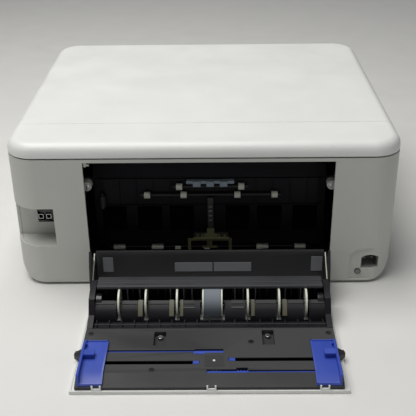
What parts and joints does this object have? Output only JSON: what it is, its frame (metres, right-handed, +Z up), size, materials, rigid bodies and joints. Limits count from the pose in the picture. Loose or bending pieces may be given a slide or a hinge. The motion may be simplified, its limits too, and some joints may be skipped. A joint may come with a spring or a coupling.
{
  "type": "inkjet printer",
  "caption": "Desktop inkjet printer with its rear paper feeder folded out flat, sliding paper guides, pickup roller shaft, top cover, carriage and front output door.",
  "frame": {"origin": "on the table under the middle of the whole object with the feeder folded out", "axes": "+Y from the rear feeder towards the front of the printer, +X to the right as seen from behind, +Z up"},
  "size_m": [0.39, 0.52, 0.158],
  "materials": {
    "off_white_plastic": "satin moulded plastic, fine texture",
    "casing_grey": "fine-textured light grey plastic",
    "charcoal_plastic": "satin charcoal plastic",
    "black_plastic": "black moulded plastic",
    "interior_black": "near-black ribbed plastic",
    "blue_plastic": "satin blue plastic",
    "bar_grey": "mid grey plastic",
    "pad_rubber": "matt grey friction pad",
    "olive_plastic": "olive acetal plastic",
    "ivory_plastic": "ivory acetal plastic",
    "roller_rubber": "blue-grey feed rubber",
    "steel": "zinc-plated steel",
    "foot_rubber": "black rubber",
    "circuit_board": "green circuit board",
    "ink_black": "black ink tank",
    "ink_colour": "tinted ink tank",
    "belt_rubber": "toothed rubber belt"
  },
  "bodies": {
    "chassis": {"main_casing": "casing_grey", "base_plate": "black_plastic", "foot_rear_left": "foot_rubber", "foot_rear_right": "foot_rubber", "foot_front_left": "foot_rubber", "foot_front_right": "foot_rubber", "port_recess": "casing_grey", "port_block": "black_plastic", "power_inlet": "black_plastic", "rear_inner_wall": "interior_black", "bridge_bracket": "bar_grey", "guide_column": "olive_plastic", "screw_boss_left": "casing_grey", "screw_boss_right": "casing_grey", "slide_rail_left": "black_plastic", "slide_rail_right": "black_plastic", "side_frame_left": "steel", "side_frame_right": "steel", "carriage_rail": "steel", "drive_belt": "belt_rubber", "carriage_motor": "steel", "platen": "black_plastic", "maintenance_station": "bar_grey", "main_board": "circuit_board", "power_supply": "black_plastic"},
    "slot_cover": {"paper_slot_cover": "off_white_plastic"},
    "lid": {"top_cover": "off_white_plastic"},
    "door": {"output_door": "casing_grey"},
    "door_extension": {"output_extension": "casing_grey"},
    "button": {"power_button": "casing_grey"},
    "feeder_slide": {"side_plate_left": "black_plastic", "side_plate_right": "black_plastic", "hinge_rod": "steel", "separator_wall": "charcoal_plastic", "friction_pad_left": "pad_rubber", "friction_pad_centre_left": "pad_rubber", "friction_pad_centre_right": "pad_rubber", "friction_pad_right": "pad_rubber"},
    "feeder_unit": {"rear_cover": "off_white_plastic", "tray_plate": "charcoal_plastic", "tray_screw_left": "steel", "tray_screw_right": "steel", "roller_housing": "interior_black", "guide_bar": "bar_grey"},
    "pickup": {"pickup_shaft": "ivory_plastic", "pickup_roller": "roller_rubber"},
    "guide_left": {"paper_guide_left": "blue_plastic"},
    "guide_right": {"paper_guide_right": "blue_plastic"},
    "pinion": {"guide_pinion": "ivory_plastic"},
    "catch_left": {"side_catch_left": "black_plastic"},
    "catch_right": {"side_catch_right": "black_plastic"},
    "print_carriage": {"carriage": "black_plastic", "ink_cartridge_black": "ink_black", "ink_cartridge_colour": "ink_colour"},
    "feed": {"feed_roller": "roller_rubber"},
    "exit": {"exit_roller": "foot_rubber"},
    "upper_idlers": {"upper_idler_shaft": "bar_grey"},
    "lower_idlers": {"lower_idler_shaft": "bar_grey"},
    "transfer": {"transfer_shaft": "off_white_plastic"}
  },
  "joints": [
    {"name": "slot_cover_hinge", "type": "hinge", "parent": "chassis", "child": "slot_cover", "pos_m": [0, -0.085, 0.147], "axis": [1, 0, 0], "range_deg": [0, 95]},
    {"name": "top_cover_hinge", "type": "hinge", "parent": "chassis", "child": "lid", "pos_m": [0, -0.03, 0.1578], "axis": [1, 0, 0], "range_deg": [0, 60]},
    {"name": "output_door_hinge", "type": "hinge", "parent": "chassis", "child": "door", "pos_m": [0, 0.2575, 0.0265], "axis": [-1, 0, 0], "range_deg": [0, 90]},
    {"name": "output_extension_slide", "type": "slide", "parent": "door", "child": "door_extension", "axis": [0, 0, 1], "range_m": [0, 0.045]},
    {"name": "power_button_press", "type": "slide", "parent": "chassis", "child": "button", "axis": [0, -1, 0], "range_m": [0, 0.001], "stiffness_N_per_m": 800, "springref_m": -0.001},
    {"name": "feeder_slide_in", "type": "slide", "parent": "chassis", "child": "feeder_slide", "axis": [0, 1, 0], "range_m": [0, 0.0421]},
    {"name": "feeder_fold", "type": "hinge", "parent": "feeder_slide", "child": "feeder_unit", "pos_m": [0, -0.126, 0.004], "axis": [-1, 0, 0], "range_deg": [0, 90]},
    {"name": "pickup_spin", "type": "hinge", "parent": "feeder_unit", "child": "pickup", "pos_m": [0, -0.148, 0.0178], "axis": [1, 0, 0], "continuous": true},
    {"name": "guide_left_slide", "type": "slide", "parent": "feeder_unit", "child": "guide_left", "axis": [1, 0, 0], "range_m": [0, 0.058]},
    {"name": "guide_right_slide", "type": "slide", "parent": "feeder_unit", "child": "guide_right", "axis": [1, 0, 0], "range_m": [-0.058, 0]},
    {"name": "guide_pinion_turn", "type": "hinge", "parent": "feeder_unit", "child": "pinion", "pos_m": [0.0095, -0.228, 0.006], "axis": [0, 0, 1], "range_deg": [-275, 0]},
    {"name": "catch_left_press", "type": "slide", "parent": "feeder_unit", "child": "catch_left", "axis": [1, 0, 0], "range_m": [0, 0.0018], "stiffness_N_per_m": 600, "springref_m": -0.001},
    {"name": "catch_right_press", "type": "slide", "parent": "feeder_unit", "child": "catch_right", "axis": [-1, 0, 0], "range_m": [0, 0.0018], "stiffness_N_per_m": 600, "springref_m": -0.001},
    {"name": "carriage_slide", "type": "slide", "parent": "chassis", "child": "print_carriage", "axis": [-1, 0, 0], "range_m": [0, 0.2]},
    {"name": "feed_roller_spin", "type": "hinge", "parent": "chassis", "child": "feed", "pos_m": [0, 0.042, 0.06], "axis": [1, 0, 0], "continuous": true},
    {"name": "exit_roller_spin", "type": "hinge", "parent": "chassis", "child": "exit", "pos_m": [0, 0.162, 0.058], "axis": [1, 0, 0], "continuous": true},
    {"name": "upper_idler_spin", "type": "hinge", "parent": "chassis", "child": "upper_idlers", "pos_m": [0, -0.0417, 0.0905], "axis": [1, 0, 0], "continuous": true},
    {"name": "lower_idler_spin", "type": "hinge", "parent": "chassis", "child": "lower_idlers", "pos_m": [0, -0.0417, 0.081], "axis": [1, 0, 0], "continuous": true},
    {"name": "transfer_shaft_spin", "type": "hinge", "parent": "chassis", "child": "transfer", "pos_m": [0, -0.033, 0.013], "axis": [1, 0, 0], "continuous": true}
  ],
  "couplings": [
    {"joint": "feeder_slide_in", "follows": "feeder_fold", "m_per_rad": 0.026738},
    {"joint": "guide_right_slide", "follows": "guide_left_slide", "ratio": -1},
    {"joint": "guide_pinion_turn", "follows": "guide_left_slide", "rad_per_m": -81.967},
    {"joint": "exit_roller_spin", "follows": "feed_roller_spin", "ratio": 1.3333}
  ]
}
